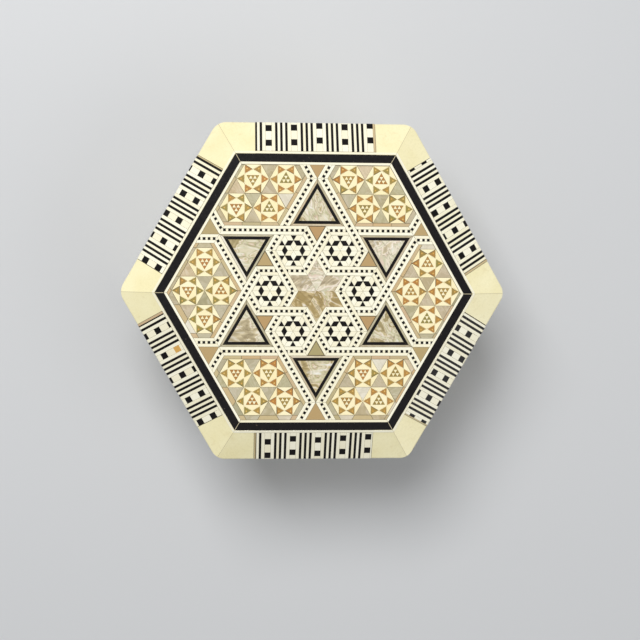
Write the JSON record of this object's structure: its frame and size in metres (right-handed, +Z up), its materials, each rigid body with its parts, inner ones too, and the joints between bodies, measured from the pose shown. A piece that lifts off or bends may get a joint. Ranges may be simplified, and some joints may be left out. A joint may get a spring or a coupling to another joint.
{
  "type": "inlaid hexagonal wooden box",
  "caption": "Hexagonal hinged wooden box with a bevelled lid, covered in geometric bone, ebony and mother-of-pearl marquetry and lined in velvet.",
  "frame": {"origin": "centre of the felt underside, on the surface that the box stands on", "axes": "+Z up, +X to the right through a corner of the hexagon, -Y to the front flat; the lid's hinges are at the +Y flat"},
  "size_m": [0.1274, 0.112, 0.0539],
  "materials": {
    "wood": "plain, hidden beech or pine",
    "dark_wood": "stained and lacquered",
    "bone": "polished cream bone under clear lacquer",
    "ebony": "polished black under clear lacquer",
    "marquetry": "bone, ebony, walnut and mother-of-pearl pieces set in a resin bed, lacquered",
    "stripes": "cross-cut strips of bone and ebony, lacquered",
    "pearl": "polished mother-of-pearl",
    "velvet": "short-pile red velvet",
    "felt": "thin green felt",
    "brass": "satin"
  },
  "bodies": {
    "box": {"base_board": "wood", "base_felt": "felt", "floor_pad": "velvet", "wall_lining": "velvet", "wall_back": "wood", "wall_back_left": "wood", "wall_front_left": "wood", "wall_front": "wood", "wall_front_right": "wood", "wall_back_right": "wood", "side_panel_back": "marquetry", "side_panel_back_left": "marquetry", "side_panel_front_left": "marquetry", "side_panel_front": "marquetry", "side_panel_front_right": "marquetry", "side_panel_back_right": "marquetry", "base_rail_back": "dark_wood", "base_rail_back_left": "dark_wood", "base_rail_front_left": "dark_wood", "base_rail_front": "dark_wood", "base_rail_front_right": "dark_wood", "base_rail_back_right": "dark_wood", "hinge_left_box_leaf": "brass", "hinge_left_pin": "brass", "hinge_left_box_screw_1": "brass", "hinge_left_box_screw_2": "brass", "hinge_right_box_leaf": "brass", "hinge_right_pin": "brass", "hinge_right_box_screw_1": "brass", "hinge_right_box_screw_2": "brass"},
    "lid": {"lid_board": "wood", "lid_field": "marquetry", "lid_band": "ebony", "lid_pad": "velvet", "lid_rail_back": "dark_wood", "lid_rail_back_left": "dark_wood", "lid_rail_front_left": "dark_wood", "lid_rail_front": "dark_wood", "lid_rail_front_right": "dark_wood", "lid_rail_back_right": "dark_wood", "lid_stripe_back": "stripes", "lid_stripe_back_left": "stripes", "lid_stripe_front_left": "stripes", "lid_stripe_front": "stripes", "lid_stripe_front_right": "stripes", "lid_stripe_back_right": "stripes", "lid_corner_back_left": "bone", "lid_corner_left": "bone", "lid_corner_front_left": "bone", "lid_corner_front_right": "bone", "lid_corner_right": "bone", "lid_corner_back_right": "bone", "hinge_left_lid_leaf": "brass", "hinge_left_lid_screw_1": "brass", "hinge_left_lid_screw_2": "brass", "hinge_right_lid_leaf": "brass", "hinge_right_lid_screw_1": "brass", "hinge_right_lid_screw_2": "brass"}
  },
  "joints": [
    {"name": "lid_hinge", "type": "hinge", "parent": "box", "child": "lid", "pos_m": [0, 0.0518, 0.04315], "axis": [-1, 0, 0], "range_deg": [0, 115]}
  ]
}
